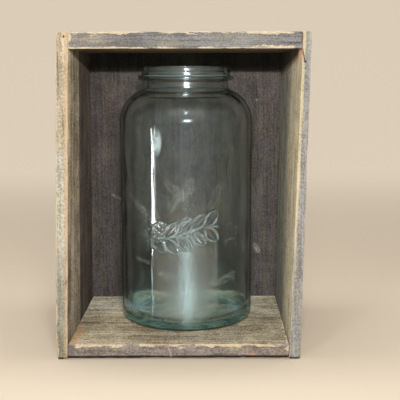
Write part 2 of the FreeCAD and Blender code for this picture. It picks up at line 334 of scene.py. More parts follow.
def field(name):
    """A number that the mesh keeps for each point."""
    return Wire.make("Attribute", {"attribute_name": name}, {}, out="Fac")


def weathered_timber(name, along, zones, bare, arris_width, rubbed, marks=None, shift=0.0):
    """Bare softwood gone grey: fine fibres and broad bands along the grain, open cracks and dull blotches.

    Zones give, for each part of the board, where it is and its dark, middle and light tones, as they are
    seen. Clouds of plum and straw tint them. The bare colour shows along the arrises that hands have rubbed,
    to about the arris width, then come the marks, and rust has bled from the nails.
    """
    finish = new_finish(name)
    spot, x, y, z = place_in_millimetres()
    place = Wire.make("VectorMath", {"operation": "ADD"}, {0: spot, 1: (shift, shift, shift)})

    def grain(across, lengthways, **more):
        """Noise that is drawn out along the grain."""
        stretch = [across] * 3
        stretch[along] = lengthways
        return noise(place, stretch, **more)

    fibre = grain(0.55, 0.02, detail=7, roughness=0.75)
    bands = grain(0.11, 0.005, detail=4, roughness=0.6)
    cracks = grain(0.42, 0.011, detail=5, roughness=0.65, distortion=0.5).between(0.60, 0.68)
    grit = noise(place, 0.6, detail=4, roughness=0.7)
    blotch = noise(place, 0.05, detail=6, roughness=0.65)
    cloud = grain(0.10, 0.035, detail=4, roughness=0.6, distortion=0.6)
    dashes = grain(0.7, 0.10, detail=4, roughness=0.6).between(0.57, 0.67)
    tone = (fibre * 0.75 + bands * 0.5 + grit * 0.95 + blotch * 0.5 - 0.85).between(0.22, 0.78)

    colour = None
    for where, tones in zones(x, y, z):
        stops = [(at, paint(*seen)) for at, seen in zip((0.0, 0.5, 1.0), tones)]
        shade = Wire.make("ValToRGB", {"stops": stops}, {0: tone})
        colour = shade if colour is None else blend(where, colour, shade)
    plum, straw = (0.47, 0.43, 0.54, 1), (0.60, 0.53, 0.38, 1)
    colour = blend(cloud.between(0.48, 0.66) * 0.25, colour, plum, "SOFT_LIGHT")
    colour = blend(cloud.between(0.52, 0.36) * 0.5, colour, straw, "SOFT_LIGHT")
    crack_dark, dash_dark, rust_brown = paint(52, 42, 32), paint(62, 53, 42), paint(58, 36, 24)
    colour = blend(cracks * 0.6, colour, crack_dark)
    colour = blend(dashes * (0.6 - 0.35 * at_front(y)), colour, dash_dark)

    gap = field("arris_gap")
    ragged = grain(0.2, 0.07, detail=6, roughness=0.7) * 7.0 - 2.9
    worn = (gap - ragged * arris_width).between(0.35, -0.25) * rubbed(x, y, z)
    bare_wood = blend(grit.between(0.38, 0.62), paint(*bare[0]), paint(*bare[1]))
    colour = blend(worn * 0.92, colour, bare_wood)
    for where, stain in marks(x, y, z, fibre, grit) if marks else ():
        colour = blend(where, colour, paint(*stain))
    rust = field("nail_rust") * (0.55 + 0.7 * fibre)
    colour = blend(rust.between(0.1, 1.0) * 0.85, colour, rust_brown)

    height = fibre * 0.6 + grit * 0.4 - cracks * 0.9
    bump = Wire.make("Bump", {}, {"Strength": 0.6, "Distance": 0.4 * MM, "Height": height})
    rough = 0.80 + 0.15 * fibre
    sockets = {"Base Color": colour, "Roughness": rough, "Normal": bump, "Diffuse Roughness": 1.0,
               "Specular IOR Level": 0.25}
    close_finish(Wire.make("BsdfPrincipled", {}, sockets))
    return finish


def reach_from(x, y, z, centre, reach):
    """The square of the distance from a centre, 1 on the ellipsoid with these half-widths in millimetres."""
    offsets = [(part - middle) * (1 / half) for part, middle, half in zip((x, y, z), centre, reach)]
    return offsets[0] ** 2 + offsets[1] ** 2 + offsets[2] ** 2


def spot_at(x, y, z, centre, reach):
    """1 at a centre, falling to 0 on the ellipsoid with these half-widths."""
    return reach_from(x, y, z, centre, reach).between(1.0, 0.15)


front_y = box_low[1]
inner_back_y = node_box("back_panel")[0][1]
left_low, left_high = upright_box("left_side_board")
nail_head_radius = 2.6
corner_nail_count = 3


def at_front(y):
    """1 on the front edges of the boards, and 0 behind them."""
    return y.between(front_y + 1.4, front_y + 0.8)


def without_lean(x, z):
    """How far right a point of the front edge would be if the box stood square."""
    return x - front_lean * (z * (1 / box_height) - 0.5)


def exposed_arrises(share):
    """A mask: a share where hands reach an upright's arrises, and 0 at its foot and beside the back panel."""
    def mask(x, y, z):
        return y.between(inner_back_y - 10, inner_back_y - 20) * z.between(2, 5) * share
    return mask


def below_the_top(z):
    """0 on the sawn top ends of the uprights, and 1 below them."""
    return z.between(box_height - 1.2, box_height - 2.4)


def corner_nail_rows(side, x):
    """The middles of the nail heads on a side board's outer face, spread evenly over each CAD node's box."""
    rows = {}
    for node in (f"top_{side}_nails", f"bottom_{side}_nails"):
        low, high = node_box(node)
        places = np.linspace(low[1] + nail_head_radius, high[1] - nail_head_radius, corner_nail_count)
        rows[node] = [np.array([x, place, (low[2] + high[2]) / 2]) for place in places]
    return rows


def driven_along(axis, rows):
    """Every nail of some rows, each with the axis that it is driven along."""
    return [(spot, axis) for spots in rows.values() for spot in spots]


# A dark band painted low on the front edges: painted shade standing for the contact shadow along the foot of
# the box.
painted_shade_line, painted_shade_foot = 2.6, 1.2
upright_painted_shade = (44, 36, 30), (66, 56, 46), (90, 78, 64)


def left_zones(x, y, z):
    """Brown-grey inside and dark in the rear half, with a pale front edge, palest in its upper part."""
    inner = (54, 46, 36), (130, 119, 101), (184, 174, 156)
    rear = (38, 33, 30), (72, 64, 58), (108, 97, 88)
    edge = (140, 136, 122), (190, 187, 173), (222, 220, 206)
    upper = (152, 142, 122), (204, 191, 168), (234, 223, 202)
    foot = (114, 110, 98), (154, 150, 136), (184, 182, 168)
    outer = (96, 88, 80), (140, 132, 120), (174, 168, 156)
    fore = (92, 83, 68), (166, 154, 131), (212, 202, 180)
    front = at_front(y)
    return [
        (None, inner),
        (y.between(-14, -8), rear),
        (y.between(-52, -79) * z.between(70, 140), fore),
        (x.between(left_low[0] + 3, left_low[0] + 1), outer),
        (1 - below_the_top(z), outer),
        (front, edge),
        (front * z.between(165, 215), upper),
        (front * z.between(110, 55), foot),
        # Painted shade at the foot of the front edge.
        (front * z.between(painted_shade_line, painted_shade_foot), upright_painted_shade),
    ]


def left_marks(x, y, z, fibre, grit):
    """A strip of bare wood along the inner side of the front edge, and a small knot near its top."""
    strip = without_lean(x, z).between(left_high[0] - 3.4, left_high[0] - 2.4) * at_front(y)
    knot = spot_at(x, y, z, (-92.3, front_y, 266.5), (1.2, 3, 1.2))
    return [
        (strip * (fibre * 1.6 + grit - 0.5).between(0.4, 1.0) * 0.6, (208, 180, 144)),
        (knot * 0.85, (46, 38, 30)),
    ]


foot_wear, foot_wear_height = 1.7, 38.0
foot_wear_rear, foot_wear_depth = -10.0, 60.0


def worn_foot(points):
    """Wears the outer front corner of the foot away, more towards the floor and the front."""
    down = eased((foot_wear_height - points[:, 2]) / foot_wear_height)
    forward = eased((foot_wear_rear - points[:, 1]) / foot_wear_depth)
    depth = foot_wear * down ** 2 * forward
    outside = (left_high[0] - points[:, 0]) / (left_high[0] - left_low[0])
    moved = points.copy()
    moved[:, 0] += depth * np.clip(outside, 0, 1)
    return moved


left_rows = corner_nail_rows("left", left_low[0])
upright_steps = 2.4, 1.7, 3.2
left_board = worn_board("left_board", left_low, left_high, UP, seed=11, steps=upright_steps,
                        nails=driven_along(RIGHT, left_rows), worn=worn_foot)
left_bare = (222, 206, 178), (202, 184, 152)
left_timber = weathered_timber("left_board_timber", UP, left_zones, left_bare, arris_width=1.5,
                               rubbed=exposed_arrises(0.8), marks=left_marks)
fit(left_board, left_timber, "left_side_board", "box")

# Right side board
# The thinner side of the box, of the same old softwood, cooler grey on its front edge and olive inside.
# It was sawn on a taper, so that it is thicker at the foot than at the top.

right_low, right_high = upright_box("right_side_board")
right_taper = 2.9


def right_inner_face(x, z):
    """1 on the face of the right board that looks into the box, and 0 further out."""
    return without_lean(x, z).between(right_low[0] + 5, right_low[0] + 3)


def painted_roof_wedge(y, z):
    """1 in the wedge high on the inner face where the roof's shadow is painted, deeper towards the back."""
    return (z + y * 0.125).between(240, 247) * (1 - at_front(y))


def right_zones(x, y, z):
    """Olive inside and paler to the front, with a painted shadow of the roof high inside, a cool grey front
    edge and painted shade at its foot.
    """
    inner = (112, 105, 88), (164, 156, 134), (204, 196, 173)
    rear = (72, 70, 63), (110, 107, 97), (140, 136, 124)
    edge = (118, 116, 112), (160, 159, 156), (190, 192, 188)
    outer = (92, 88, 82), (134, 130, 122), (170, 166, 158)
    fore = (128, 120, 99), (184, 175, 149), (218, 210, 186)
    painted_roof_shade = (34, 28, 18), (48, 40, 26), (66, 56, 38)
    return [
        (None, inner),
        (y.between(-22, -78), fore),
        (y.between(-30, 14), rear),
        # Painted shadow of the roof: a dark wedge high on the inner face.
        (painted_roof_wedge(y, z) * right_inner_face(x, z) * 0.85, painted_roof_shade),
        (x.between(right_high[0] - 3, right_high[0] - 1), outer),
        (1 - below_the_top(z), outer),
        (at_front(y), edge),
        # Painted shade at the foot of the front edge.
        (at_front(y) * z.between(painted_shade_line, painted_shade_foot), upright_painted_shade),
    ]


def right_marks(x, y, z, fibre, grit):
    """A strip of bare wood on the front edge, a pale split inside the top corner and a break beside it."""
    strip = without_lean(x, z).between(right_low[0] + 3.0, right_low[0] + 1.8)
    strip = strip * at_front(y) * z.between(30, 150)
    split = y.between(-50, -62) * z.between(243, 250) * below_the_top(z)
    split = split * right_inner_face(x, z) * (1 - at_front(y))
    crack_x = 97.2 + (256.8 - z) * 0.2
    crack = (crack_x - x) ** 2
    break_line = crack.between(0.5, 0.05) * z.between(245, 247) * at_front(y)
    return [
        (strip * (fibre * 1.6 + grit - 0.5).between(0.35, 0.9) * 0.8, (224, 212, 176)),
        (split * 0.8, (214, 172, 142)),
        (break_line * 0.85, (40, 32, 26)),
        (spot_at(x, y, z, (99.6, front_y, 246.6), (1.6, 3, 0.9)) * 0.9, (34, 26, 22)),
    ]


def sawn_taper(points):
    """Moves the outer face out towards the foot and in towards the top, by equal amounts."""
    outside = np.clip((points[:, 0] - right_low[0]) / (right_high[0] - right_low[0]), 0, 1)
    moved = points.copy()
    moved[:, 0] += right_taper * (0.5 - points[:, 2] / box_height) * outside
    return moved


right_rows = corner_nail_rows("right", right_high[0])
right_board = worn_board("right_board", right_low, right_high, UP, seed=23, steps=upright_steps,
                         nails=driven_along(RIGHT, right_rows), worn=sawn_taper)
right_bare = (224, 214, 194), (206, 192, 168)
right_timber = weathered_timber("right_board_timber", UP, right_zones, right_bare, arris_width=1.2,
                                rubbed=exposed_arrises(0.25), marks=right_marks, shift=31)
fit(right_board, right_timber, "right_side_board", "box")

# Bottom board
# The floor of the box, a board on the flat between the two sides with its grain from left to right.
# It sits a little above the feet of the sides, and its scarred front edge is worn bare along the top.

joint_gap, foot_gap = 0.1, 1.2


def between_the_sides(node):
    """The box of a board that is butted between the two sides, with the lean of the CAD model taken out."""
    low, high = node_box(node)
    low[0], high[0] = left_high[0] + joint_gap, right_low[0] - joint_gap
    return low, high


floor_low, floor_high = between_the_sides("bottom_board")
floor_low[2] += foot_gap


def floor_zones(x, y, z):
    """Brown-grey where the jar stands, made paler on the left and in the rear as painted light, with a warm
    grey front edge and painted shade along its foot.
    """
    tread = (78, 68, 52), (142, 131, 110), (194, 186, 164)
    painted_light_tread = (98, 87, 67), (168, 156, 131), (214, 205, 181)
    rear = (104, 96, 80), (208, 198, 176), (252, 246, 230)
    under = (70, 58, 44), (104, 90, 72), (134, 120, 100)
    edge = (92, 84, 82), (142, 133, 128), (178, 168, 158)
    painted_shade = (30, 25, 20), (42, 35, 28), (60, 51, 41)
    return [
        (None, tread),
        # Painted light: the tread paler on the left and in the rear, where the jar's shadow falls.
        (x.between(-30, -58), painted_light_tread),
        (y.between(-5, 30) * (1 - 0.5 * x.between(30, 60)), rear),
        # Painted shade under the board: its lowest 2 mm darker, and the foot of its front edge darker still.
        (z.between(floor_low[2] + 2, floor_low[2] + 1), under),
        (at_front(y), edge),
        (at_front(y) * z.between(floor_low[2] + 2.6, floor_low[2] + 1.3), painted_shade),
    ]


def front_arrises(low, high):
    """A mask that leaves out a board's ends and its rear, where it is let in between its neighbours."""
    def mask(x, y, z):
        ends = x.between(low[0] + 2, low[0] + 4) * x.between(high[0] - 2, high[0] - 4)
        return ends * y.between(0, -20) * z.between(4, 7)
    return mask


def floor_marks(x, y, z, fibre, grit):
    """Tan wear on the tread beside both walls, and a slanting scratch and fibrous scars on the front edge."""
    tan = 206, 154, 104
    left_wear = x.between(-84, -91) * y.between(-12, -45) * grit.between(0.3, 0.6) * (1 - at_front(y))
    right_wear = x.between(84, 94) * y.between(30, 5) * grit.between(0.4, 0.7)
    scratch_x = -11.7 + (12.3 - z) * 0.26
    scratch = ((x - scratch_x) ** 2).between(0.8, 0.1) * at_front(y)
    fibrous = fibre.between(0.4, 0.6) * 0.7
    return [
        (left_wear * 0.6, tan),
        (right_wear * 0.5, tan),
        (scratch * 0.6, (206, 186, 166)),
        (spot_at(x, y, z, (-11.7, front_y, 12.0), (1.6, 4, 1.4)) * 0.7, (196, 140, 94)),
        (spot_at(x, y, z, (70.5, front_y, 9.6), (6.5, 3, 1.8)) * fibrous, (206, 172, 148)),
        (spot_at(x, y, z, (58.0, front_y, 4.6), (6.0, 3, 1.8)) * fibrous, (200, 160, 120)),
    ]


flat_steps = 3.2, 1.7, 2.6
floor_board = worn_board("floor_board", floor_low, floor_high, RIGHT, seed=37, steps=flat_steps,
                         chip=2.2, furrow=0.26)
floor_bare = (230, 219, 194), (208, 190, 160)
floor_rubbed = front_arrises(floor_low, floor_high)
floor_timber = weathered_timber("floor_board_timber", RIGHT, floor_zones, floor_bare, arris_width=2.6,
                                rubbed=floor_rubbed, marks=floor_marks, shift=57)
fit(floor_board, floor_timber, "bottom_board", "box")

# Top board
# The roof of the box, a board on the flat between the two sides, level with their tops.
# Its front edge is cool grey, with a pale line of bare wood along the arris that hands have rubbed.

top_low, top_high = between_the_sides("top_board")


def top_zones(x, y, z):
    """Brown beneath and grey above, with a cool grey front edge that is paler at its left end."""
    under = (58, 46, 32), (88, 74, 56), (116, 102, 82)
    roof = (104, 98, 92), (146, 140, 134), (178, 172, 166)
    edge = (101, 100, 101), (140, 140, 141), (169, 169, 166)
    pale_end = (118, 114, 109), (153, 150, 146), (178, 175, 169)
    return [
        (None, under),
        (z.between(top_high[2] - 3, top_high[2] - 1), roof),
        (at_front(y), edge),
        (at_front(y) * x.between(-20, -60), pale_end),
    ]


top_board = worn_board("roof_board", top_low, top_high, RIGHT, seed=41, steps=flat_steps, chip=1.8)
top_bare = (226, 217, 194), (206, 190, 160)
top_rubbed = front_arrises(top_low, top_high)
top_timber = weathered_timber("roof_board_timber", RIGHT, top_zones, top_bare, arris_width=1.9,
                              rubbed=top_rubbed, shift=83)
fit(top_board, top_timber, "top_board", "box")

# Corner nails
# Steel wire nails, three at each corner, driven through the sides into the ends of the top and bottom boards.
# Their heads are set just under the face, rusted dark, and none is quite round after the hammer.

nail_radius = 1.1
nail_length = 32.0
nail_head_thickness = 1.0
nail_set_depth = 0.3
nail_point_length = 3.5
nail_sides = 20


def tube_faces(rows, columns):
    """Faces over rings of points, numbered ring by ring: quads between them and a fan to a pole at each end.

    The first ring's pole is numbered next after the rings, and the last ring's pole after that.
    """
    number = np.arange(rows * columns).reshape(rows, columns)
    after = np.roll(number, -1, axis=1)
    quads = np.stack([number[:-1], after[:-1], after[1:], number[1:]], -1).reshape(-1, 4)
    first_pole, last_pole = np.full(columns, number.size), np.full(columns, number.size + 1)
    first_fan = np.stack([first_pole, after[0], number[0]], -1)
    last_fan = np.stack([last_pole, number[-1], after[-1]], -1)
    return quads, np.concatenate([first_fan, last_fan])


def nail_group(name, spots, axis, inward, seed):
    """Nails in a row, each a profile turned about the way it was driven.

    The profile runs from the middle of the head over its crown and edge, back to the shank and down to the
    point. Each head is pulled a little out of round by a two-lobed and a three-lobed wave.
    """
    crown = np.array([[0.0, -0.12], [0.5, -0.11], [0.84, -0.05], [1.0, 0.18], [0.97, 0.8]]) * nail_head_radius
    crown[:, 1] *= nail_head_thickness / nail_head_radius
    shank = np.array([[nail_radius, nail_head_thickness], [nail_radius, nail_length - nail_point_length]])
    profile = np.concatenate([crown[1:], shank, [[nail_radius * 0.3, nail_length - 0.6]]])
    turn = np.linspace(0, 2 * np.pi, nail_sides, endpoint=False)
    draw = np.random.default_rng(seed)
    side, up = (axis + 1) % 3, (axis + 2) % 3
    points, quads, triangles, first = [], [], [], 0
    tube, fans = tube_faces(len(profile), len(turn))
    for spot in spots:
        phases = draw.uniform(0, 6), draw.uniform(0, 6)
        lobes = 1 + 0.05 * np.sin(2 * turn + phases[0]) + 0.03 * np.sin(3 * turn + phases[1])
        ring = np.zeros((len(profile), len(turn), 3))
        ring[..., side] = profile[:, :1] * np.cos(turn) * lobes
        ring[..., up] = profile[:, :1] * np.sin(turn) * lobes
        ring[..., axis] = inward * (profile[:, 1:] + nail_set_depth)
        tips = np.zeros((2, 3))
        tips[:, axis] = inward * (np.array([crown[0, 1], nail_length]) + nail_set_depth)
        points.append(np.concatenate([ring.reshape(-1, 3), tips]) + spot)
        quads.append(tube + first)
        triangles.append(fans + first)
        first += len(points[-1])
    quads, triangles = np.concatenate(quads), np.concatenate(triangles)
    if inward > 0:
        quads, triangles = quads[:, ::-1], triangles[:, ::-1]
    return new_piece(name, racked(np.concatenate(points)), quads, triangles)


def rusted_iron():
    """Iron gone to brown rust, with dark scale between and a little bare metal where the hammer rubbed it."""
    finish = new_finish("rusted_nail_iron")
    place, *_ = place_in_millimetres()
    scale = noise(place, 0.9, detail=6, roughness=0.7)
    grains = noise(place, 2.6, detail=3)
    stops = [(0.3, paint(38, 26, 22)), (0.52, paint(84, 52, 34)), (0.72, paint(132, 82, 48))]
    colour = Wire.make("ValToRGB", {"stops": stops}, {0: scale})
    bump = Wire.make("Bump", {}, {"Strength": 0.7, "Distance": 0.25 * MM, "Height": scale + grains * 0.5})
    metal = scale.between(0.45, 0.3) * 0.6
    sockets = {"Base Color": colour, "Roughness": 0.62 + 0.3 * grains, "Metallic": metal, "Normal": bump}
    close_finish(Wire.make("BsdfPrincipled", {}, sockets))
    return finish


nail_iron = rusted_iron()


def seat_nails(node, spots, axis, inward, seed, seat=None):
    """Makes a row of nails for a CAD node, with the heads where its board's worn face is."""
    spots = np.array(spots) if seat is None else seat(np.array(spots))
    row = nail_group(node.replace("_nails", "_nail_row"), spots, axis, inward, seed)
    fit(row, nail_iron, node, "box")


for seed, (left_node, right_node) in enumerate(zip(left_rows, right_rows)):
    seat_nails(left_node, left_rows[left_node], RIGHT, 1, seed, worn_foot)
    seat_nails(right_node, right_rows[right_node], RIGHT, -1, seed + 2, sawn_taper)

# Back panel
# A thin board nailed over the back of the box, with its grain upright and dark, and a painted shadow of the
# roof across the top of its inner face.
# Chalky scuffs cross its inner face where things were pushed against it.

panel_low, panel_high = upright_box("back_panel")
back_side_nail_count = 3
back_end_nail_count = 2


def back_nail_places(node, count, axis):
    """The middles of a row of heads along one axis on the panel's rear, from end to end of the node's box."""
    low, high = node_box(node)
    middle = (low + high) / 2
    spots = np.repeat(middle[None], count, axis=0)
    if axis == UP:
        spots[:, UP] = np.linspace(low[2] + nail_head_radius, high[2] - nail_head_radius, count)
    else:
        lean = cad_lean * (middle[2] / box_height - 0.5)
        ends = low[0] + nail_head_radius - lean, high[0] - nail_head_radius - lean
        spots[:, RIGHT] = np.linspace(*ends, count)
    spots[:, BACK] = panel_high[BACK]
    return spots


back_rows = {
    "back_left_nails": back_nail_places("back_left_nails", back_side_nail_count, UP),
    "back_right_nails": back_nail_places("back_right_nails", back_side_nail_count, UP),
    "back_top_nails": back_nail_places("back_top_nails", back_end_nail_count, RIGHT),
    "back_bottom_nails": back_nail_places("back_bottom_nails", back_end_nail_count, RIGHT),
}


def panel_zones(x, y, z):
    """Dull grey inside, with a painted shadow of the roof across its top and painted shade behind the foot of
    the jar, and brown on the rear.
    """
    inner = (80, 73, 73), (107, 100, 99), (132, 124, 122)
    rear = (92, 80, 68), (132, 120, 106), (164, 154, 140)
    painted_roof_shade = (38, 34, 32), (56, 52, 49), (74, 69, 66)
    painted_shade = (40, 37, 35), (56, 53, 51), (74, 70, 67)
    return [
        (None, inner),
        # Painted shadow of the roof: a dark band along the top of the inner face.
        (z.between(236, 246), painted_roof_shade),
        # Painted shade on the panel behind the lower half of the jar.
        (spot_at(x, y, z, (0, panel_low[1], 46), (78, 6, 68)) * 0.95, painted_shade),
        (y.between(panel_low[1] + 1.5, panel_low[1] + 3), rear),
    ]


def outer_arrises(x, y, z):
    """1 on the panel's rear arrises, which hands reach, and 0 inside the box."""
    return y.between(panel_low[1] + 3, panel_low[1] + 5)


def scuff(x, z, start, end, width, strength):
    """A chalky stroke on the panel, strongest along the line between two points (right, up).

    Its chalk lies in streaks along the stroke, from a noise that is stretched that way.
    """
    run_x, run_z = end[0] - start[0], end[1] - start[1]
    length = math.hypot(run_x, run_z)
    across, up = x - start[0], z - start[1]
    along = Wire.make("Clamp", {}, {"Value": across * (run_x / length ** 2) + up * (run_z / length ** 2)})
    away = (across - along * run_x) ** 2 + (up - along * run_z) ** 2
    aside = up * (run_x / length) - across * (run_z / length)
    dragged = Wire.make("CombineXYZ", {}, {"X": aside, "Y": along * (0.08 * length), "Z": start[0]})
    streaks = noise(dragged, 0.8, detail=3, roughness=0.65).between(0.36, 0.62)
    return away.between(width ** 2 * 8, 0) ** 2 * streaks * strength


def panel_marks(x, y, z, fibre, grit):
    """Chalky strokes that sway with a slow noise and are broken by a quick one, a brown smear and a dab."""
    strokes = [
        ((-72.2, 117.8), (-57.3, 108.6), 0.8, 1.0),
        ((-57.3, 108.6), (-43.3, 100.5), 1.9, 0.8),
        ((-17.1, 128.4), (-2.7, 113.8), 2.4, 0.5),
        ((7.6, 130.5), (-13.1, 105.7), 3.0, 0.55),
        ((9.0, 126.0), (-8.0, 112.0), 0.7, 0.5),
        ((38.0, 124.3), (28.1, 103.7), 2.4, 0.4),
        ((44.0, 70.5), (55.0, 74.7), 0.8, 0.6),
        ((56.0, 73.6), (59.0, 65.5), 0.8, 0.6),
        ((57.8, 85.4), (56.5, 78.2), 0.9, 0.6),
        ((70.1, 65.5), (73.1, 60.3), 1.3, 0.9),
        ((-56.1, 55.0), (-35.2, 49.0), 0.8, 0.9),
        ((56.2, 37.7), (26.2, 23.3), 1.0, 1.0),
        ((54.0, 33.0), (30.0, 27.5), 1.8, 0.7),
        ((-24.0, 37.0), (-12.0, 30.0), 0.8, 0.8),
    ]
    place, *_ = place_in_millimetres()
    sway = noise(place, 0.07, detail=6, roughness=0.7) - 0.5
    broken = noise(place, (0.9, 0.9, 0.45), detail=5, roughness=0.75, distortion=1.0).between(0.30, 0.52)
    swayed_x, swayed_z = x + sway * 14, z - sway * 9
    chalk = scuff(swayed_x, swayed_z, *strokes[0])
    for stroke in strokes[1:]:
        chalk = chalk.most(scuff(swayed_x, swayed_z, *stroke))
    inside = y.between(panel_low[1] + 2, panel_low[1] + 1)
    smear = spot_at(x, y, z, (84.5, panel_low[1], 190), (2.2, 4, 26))
    dab = spot_at(x, y, z, (72.0, panel_low[1], 211.6), (1.8, 4, 1.6))
    return [
        (smear * fibre.between(0.4, 0.6) * 0.5, (132, 98, 76)),
        (dab * 0.6, (170, 166, 158)),
        (chalk * inside * broken, (200, 190, 181)),
    ]


panel_steps = 1.7, 2.4, 3.2
back_board = worn_board("back_board", panel_low, panel_high, UP, seed=53, steps=panel_steps,
                        arris=0.7, chip=1.0, nails=driven_along(BACK, back_rows))
panel_bare = (176, 160, 138), (158, 142, 122)
panel_timber = weathered_timber("back_board_timber", UP, panel_zones, panel_bare, arris_width=0.8,
                                rubbed=outer_arrises, marks=panel_marks, shift=109)
fit(back_board, panel_timber, "back_panel", "box")

# Back nails
# The same wire nails, driven through the panel into the edges of the four boards.
# Three hold it along each side, and two along the top and the bottom, with their heads just under its face.

for seed, (node, spots) in enumerate(back_rows.items(), start=7):
    seat_nails(node, spots, BACK, -1, seed)

# Glass jar
# A half-gallon preserving jar of pale aqua glass, blown in a two-part mould and thick in the base.
# It stands loose on the floor of the box, and lifts forward out of the open front.

jar_low, jar_high = node_box("glass_jar")
jar_middle = (jar_low + jar_high) / 2
jar_foot = jar_low[2]
jar_height = jar_high[2] - jar_low[2]
body_radius = (jar_high[0] - jar_low[0]) / 2
wall, base_thickness, base_rise = 4.5, 6.0, 2.5
bearing_width, heel_radius, inner_heel_radius = 11.0, 4.8, 10.0
sprig_height, sprig_rise, relief_low, relief_high = 89.0, 1.0, 62.0, 116.0
seam_turn, seam_rise, seam_width = -0.51, 0.3, 0.9
straight_height, shoulder_radius = 181.0, 31.0
neck_radius, neck_wall, root_radius, neck_height, neck_taper = 38.6, 4.6, 3.0, 4.6, 0.38
ring_reach, ring_slope_height, ring_edge_height = 4.6, 2.0, 3.0
lip_round, mouth_round = 2.2, 1.2
lip_step, lip_step_foot, lip_step_height = 1.5, 3.6, 0.9
lip_draft = math.tan(math.radians(3.9))
ring_round, ring_crease = 1.2, 0.8


def run(start, end, step=3.0):
    """Points along a straight run, without its end."""
    count = max(1, round(math.dist(start, end) / step))
    return np.linspace(start, end, count, endpoint=False)


def bend(centre, radius, start, end, step=7.0):
    """Points along an arc between two angles in degrees, without its end."""
    turn = np.radians(np.linspace(start, end, max(3, round(abs(end - start) / step)), endpoint=False))
    return np.stack([centre[0] + radius * np.cos(turn), centre[1] + radius * np.sin(turn)], -1)


def jar_outline():
    """Radius and height along the jar, as straight runs and arcs: the outside, the inside and the two poles.

    The outside runs from the middle of the underside up to the rim, and the inside from there to the floor.
    """
    bearing = body_radius - heel_radius - bearing_width
    dome = (bearing ** 2 + base_rise ** 2) / (2 * base_rise)
    dome_tilt = math.degrees(math.atan2(dome - base_rise, bearing))
    root_reach = neck_radius + root_radius - body_radius + shoulder_radius
    root_rise = math.sqrt((shoulder_radius + root_radius) ** 2 - root_reach ** 2)
    root_tilt = math.degrees(math.atan2(root_rise, root_reach))
    root_z = straight_height + root_rise
    ring_foot = root_z + neck_height
    ring_edge = ring_foot + ring_slope_height
    ring_top = ring_edge + ring_edge_height
    ring_radius = neck_radius + ring_reach
    slope = math.atan2(ring_slope_height, ring_reach + neck_taper)
    ring_low = ring_edge + ring_round * (1 - math.sin(slope)) / math.cos(slope)
    slope_radius = ring_radius - ring_round * (1 - math.sin(slope))
    slope_end = slope_radius, ring_low - ring_round * math.cos(slope)
    lip_radius, mouth_radius = neck_radius, neck_radius - neck_wall
    step_radius, step_foot = lip_radius + lip_step, ring_top + lip_step_foot
    step_end = step_radius - lip_draft * (lip_step_foot - ring_crease), step_foot
    lip_foot = step_foot + lip_step_height
    lip_start = lip_radius + lip_draft * (jar_height - lip_round - lip_foot), lip_foot
    inner_radius = body_radius - wall
    shoulder_centre = (body_radius - shoulder_radius, straight_height)
    root_centre = (neck_radius + root_radius, root_z)
    inner_floor = inner_radius - inner_heel_radius, base_thickness
    outside = [
        bend((0, base_rise - dome), dome, 90, dome_tilt, 0.6)[1:],
        run((bearing, 0), (body_radius - heel_radius, 0), 2.5),
        bend((body_radius - heel_radius, heel_radius), heel_radius, -90, 0, 10),
        run((body_radius, heel_radius), (body_radius, relief_low)),
        run((body_radius, relief_low), (body_radius, relief_high), 0.65),
        run((body_radius, relief_high), (body_radius, straight_height)),
        bend(shoulder_centre, shoulder_radius, 0, root_tilt, 3),
        bend(root_centre, root_radius, 180 + root_tilt, 180, 12),
        run((neck_radius, root_z), (neck_radius - neck_taper, ring_foot), 0.5),
        run((neck_radius - neck_taper, ring_foot), slope_end, 1),
        bend((ring_radius - ring_round, ring_low), ring_round, math.degrees(slope) - 90, 0, 12),
        run((ring_radius, ring_low), (ring_radius, ring_top - ring_round), 1),
        bend((ring_radius - ring_round, ring_top - ring_round), ring_round, 0, 90, 15),
        run((ring_radius - ring_round, ring_top), (step_radius + ring_crease, ring_top), 1),
        bend((step_radius + ring_crease, ring_top + ring_crease), ring_crease, 270, 180, 18),
        run((step_radius, ring_top + ring_crease), step_end, 0.4),
        run(step_end, lip_start, 0.4),
        run(lip_start, (lip_radius, jar_height - lip_round), 0.4),
        bend((lip_radius - lip_round, jar_height - lip_round), lip_round, 0, 90, 12),
        run((lip_radius - lip_round, jar_height), (mouth_radius + mouth_round, jar_height), 0.8),
        bend((mouth_radius + mouth_round, jar_height - mouth_round), mouth_round, 90, 180, 15),
    ]
    inside = [
        run((mouth_radius, jar_height - mouth_round), (mouth_radius, root_z), 2),
        bend(root_centre, root_radius + neck_wall, 180, 180 + root_tilt, 8),
        bend(shoulder_centre, shoulder_radius - wall, root_tilt, 0, 4),
        run((inner_radius, straight_height), (inner_radius, base_thickness + inner_heel_radius)),
        bend((inner_floor[0], base_thickness + inner_heel_radius), inner_heel_radius, 0, -90, 6),
        run(inner_floor, (0, base_thickness), 3),
    ]
    return np.concatenate(outside), np.concatenate(inside), (base_rise, base_thickness)


def glass_wave(turn, height, seed, depth):
    """The uneven skin of old glass: sines round the jar and up it, at drawn phases."""
    draw = np.random.default_rng(seed)
    total = 0
    for lobes, length in ((2, 210), (3, 95), (5, 60), (8, 37), (13, 52)):
        angle = lobes * turn + 2 * np.pi * height / length + draw.uniform(0, 6)
        total = total + np.sin(angle) / math.sqrt(lobes)
    return depth * total


